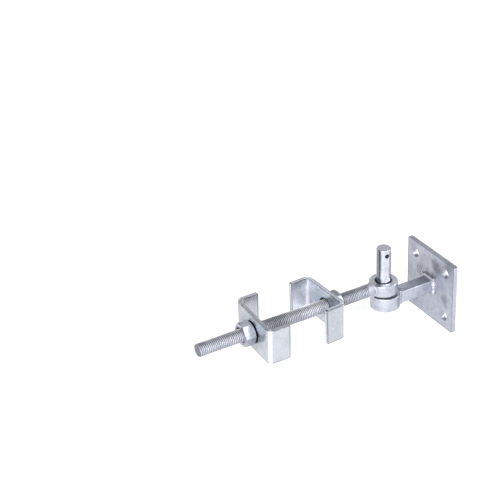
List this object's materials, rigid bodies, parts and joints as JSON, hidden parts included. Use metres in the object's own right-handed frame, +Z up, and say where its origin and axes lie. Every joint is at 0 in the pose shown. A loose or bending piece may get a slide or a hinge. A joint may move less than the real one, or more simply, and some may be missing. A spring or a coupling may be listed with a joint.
{
  "type": "adjustable gate hinge",
  "caption": "Adjustable bottom gate hinge: a threaded eye bolt with clamp brackets and nuts, turning on the upright pin of a square hook plate.",
  "frame": {"origin": "centre of the fixing plate's back face, which lies on the gate post", "axes": "+X out of the plate's back into the post, so the rod runs along -X over the gate opening; +Z up along the hinge pin"},
  "size_m": [0.3578, 0.1016, 0.1322],
  "materials": {
    "plate_zinc": "hot-dip galvanised, mottled",
    "arm_zinc": "hot-dip galvanised",
    "ring_zinc": "hot-dip galvanised",
    "pin_zinc": "galvanised over a turned surface",
    "weld_zinc": "galvanised weld bead",
    "rod_zinc": "galvanised rolled thread",
    "bracket_zinc": "bright galvanised flat bar",
    "nut_zinc": "bright galvanised"
  },
  "bodies": {
    "hook_plate": {"fixing_plate": "plate_zinc", "plate_weld": "weld_zinc", "hook_arm": "arm_zinc", "arm_weld": "weld_zinc", "base_ring": "ring_zinc", "hinge_pin": "pin_zinc", "pin_seat_bead": "weld_zinc"},
    "eye_bolt": {"eye_ring": "ring_zinc", "eye_weld_front": "weld_zinc", "eye_weld_back": "weld_zinc", "threaded_rod": "rod_zinc"},
    "inner_clamp": {"inner_bracket": "bracket_zinc"},
    "inner_nut": {"inner_nut": "nut_zinc"},
    "outer_clamp": {"outer_bracket": "bracket_zinc"},
    "outer_nut": {"outer_nut": "nut_zinc"}
  },
  "joints": [
    {"name": "gate_swing", "type": "hinge", "parent": "hook_plate", "child": "eye_bolt", "pos_m": [-0.0815, 0, 0.0244], "axis": [0, 0, 1], "range_deg": [-95, 95]},
    {"name": "inner_bracket_slide", "type": "slide", "parent": "eye_bolt", "child": "inner_clamp", "axis": [1, 0, 0], "range_m": [-0.02, 0.04]},
    {"name": "inner_nut_turn", "type": "hinge", "parent": "inner_clamp", "child": "inner_nut", "pos_m": [-0.1679, 0, 0.0244], "axis": [1, 0, 0], "range_deg": [-2880, 5760]},
    {"name": "outer_bracket_slide", "type": "slide", "parent": "eye_bolt", "child": "outer_clamp", "axis": [1, 0, 0], "range_m": [-0.05, 0.02]},
    {"name": "outer_nut_turn", "type": "hinge", "parent": "outer_clamp", "child": "outer_nut", "pos_m": [-0.2805, 0, 0.0244], "axis": [1, 0, 0], "range_deg": [-7200, 2880]}
  ],
  "couplings": [
    {"joint": "inner_nut_turn", "follows": "inner_bracket_slide", "rad_per_m": 2513.3},
    {"joint": "outer_nut_turn", "follows": "outer_bracket_slide", "rad_per_m": 2513.3}
  ]
}
